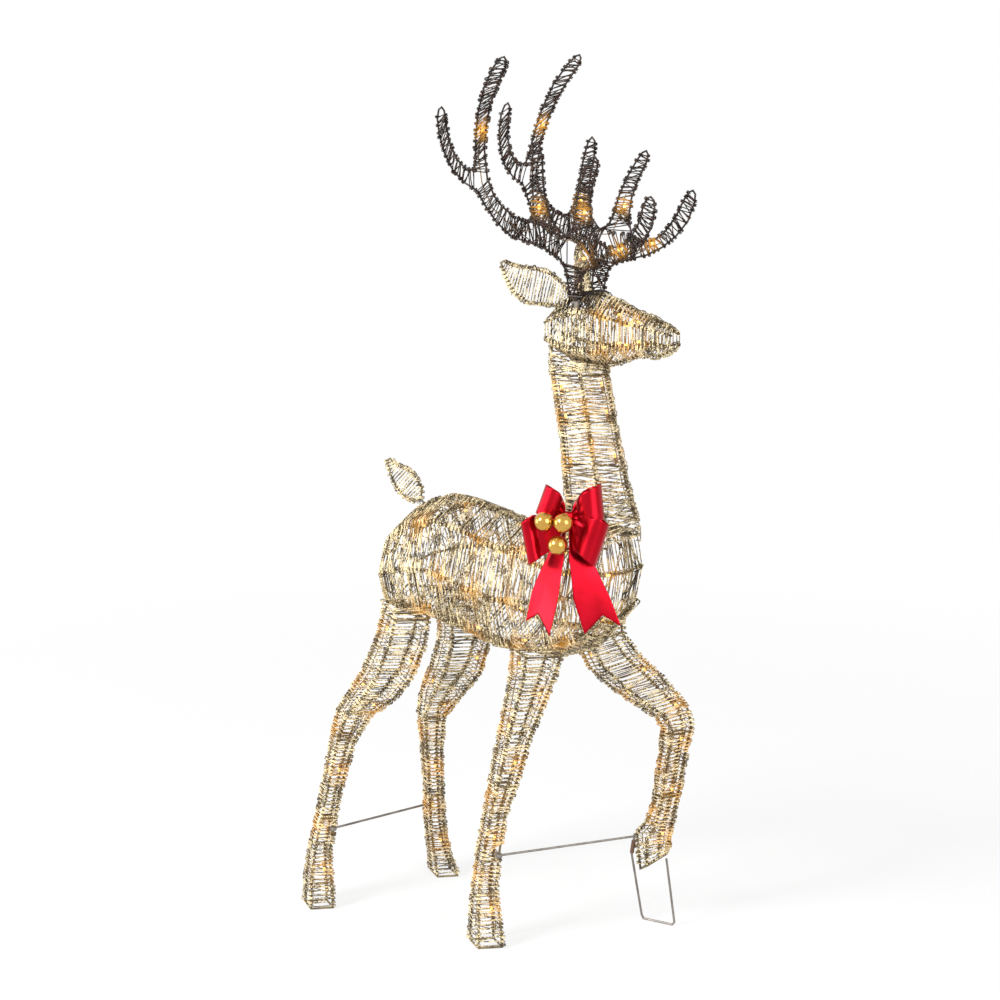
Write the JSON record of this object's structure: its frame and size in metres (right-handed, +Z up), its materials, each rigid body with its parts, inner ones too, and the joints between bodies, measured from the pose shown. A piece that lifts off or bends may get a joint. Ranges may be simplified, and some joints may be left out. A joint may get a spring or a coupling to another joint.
{
  "type": "light-up yard reindeer",
  "caption": "Standing reindeer yard figure of bent wires wound with thread, lit inside by small bulbs, with lift-off antlers, neck and tail, leg braces, a hoof prop and a ribbon bow.",
  "frame": {"origin": "on the ground under the middle of the whole object's box", "axes": "+X the way the animal faces, +Y to its left, +Z up"},
  "size_m": [0.6724, 0.3048, 1.5027],
  "materials": {
    "frame_wire": "satin champagne gold",
    "gold_thread": "shiny champagne thread",
    "antler_wire": "satin dark brown",
    "antler_thread": "dark brown thread",
    "rod": "satin grey brown",
    "sleeve": "matt brown",
    "plain_steel": "plain wire",
    "light_wire": "matt light brown",
    "bulb_holder": "matt light brown",
    "bulb": "clear warm white",
    "ribbon": "red satin",
    "gold_ball": "bright gold"
  },
  "bodies": {
    "body": {"body_rails": "frame_wire", "body_hoops": "frame_wire", "body_winding": "gold_thread", "right_rear_leg_frame": "frame_wire", "left_rear_leg_frame": "frame_wire", "right_front_leg_frame": "frame_wire", "left_front_leg_frame": "frame_wire", "right_rear_leg_winding": "gold_thread", "left_rear_leg_winding": "gold_thread", "right_front_leg_winding": "gold_thread", "left_front_leg_winding": "gold_thread", "prop_sleeve": "sleeve", "hoof_prop": "rod", "neck_sockets": "plain_steel", "tail_sockets": "plain_steel", "body_light_wire": "light_wire", "body_bulb_holders": "bulb_holder", "body_bulbs": "bulb"},
    "rear brace": {"rear_brace": "rod"},
    "front brace": {"front_brace": "rod"},
    "neck and head": {"neck_frame": "frame_wire", "neck_winding": "gold_thread", "neck_pegs": "plain_steel", "head_frame": "frame_wire", "head_winding": "gold_thread", "right_ear_frame": "frame_wire", "left_ear_frame": "frame_wire", "right_ear_winding": "gold_thread", "left_ear_winding": "gold_thread", "antler_sockets": "plain_steel", "bow_upper_left_loop": "ribbon", "bow_upper_right_loop": "ribbon", "bow_lower_left_loop": "ribbon", "bow_lower_right_loop": "ribbon", "bow_left_tail": "ribbon", "bow_right_tail": "ribbon", "bow_knot": "ribbon", "bow_tie": "plain_steel", "ornament_balls": "gold_ball", "ornament_stems": "plain_steel", "neck_light_wire": "light_wire", "neck_bulb_holders": "bulb_holder", "neck_bulbs": "bulb"},
    "right antler": {"right_antler_frame": "antler_wire", "right_antler_winding": "antler_thread", "right_antler_peg": "antler_wire", "right_antler_light_wire": "light_wire", "right_antler_holders": "bulb_holder", "right_antler_bulbs": "bulb"},
    "left antler": {"left_antler_frame": "antler_wire", "left_antler_winding": "antler_thread", "left_antler_peg": "antler_wire", "left_antler_light_wire": "light_wire", "left_antler_holders": "bulb_holder", "left_antler_bulbs": "bulb"},
    "tail": {"tail_frame": "frame_wire", "tail_winding": "gold_thread", "tail_pegs": "plain_steel"}
  },
  "joints": [
    {"name": "rear_brace_swing", "type": "hinge", "parent": "body", "child": "rear brace", "pos_m": [-0.27503, -0.10347, 0.14634], "axis": [0.1409, 0.0896, 0.986], "range_deg": [0, 45]},
    {"name": "front_brace_lift", "type": "slide", "parent": "body", "child": "front brace", "axis": [0.1056, 0.09, 0.9903], "range_m": [0, 0.014]},
    {"name": "neck_lift", "type": "slide", "parent": "body", "child": "neck and head", "axis": [0, 0, 1], "range_m": [0, 0.08]},
    {"name": "right_antler_lift", "type": "slide", "parent": "neck and head", "child": "right antler", "axis": [0, -0.225, 0.9744], "range_m": [0, 0.045]},
    {"name": "left_antler_lift", "type": "slide", "parent": "neck and head", "child": "left antler", "axis": [0, 0.225, 0.9744], "range_m": [0, 0.045]},
    {"name": "tail_pull", "type": "slide", "parent": "body", "child": "tail", "axis": [-0.72, 0, 0.694], "range_m": [0, 0.035]}
  ]
}
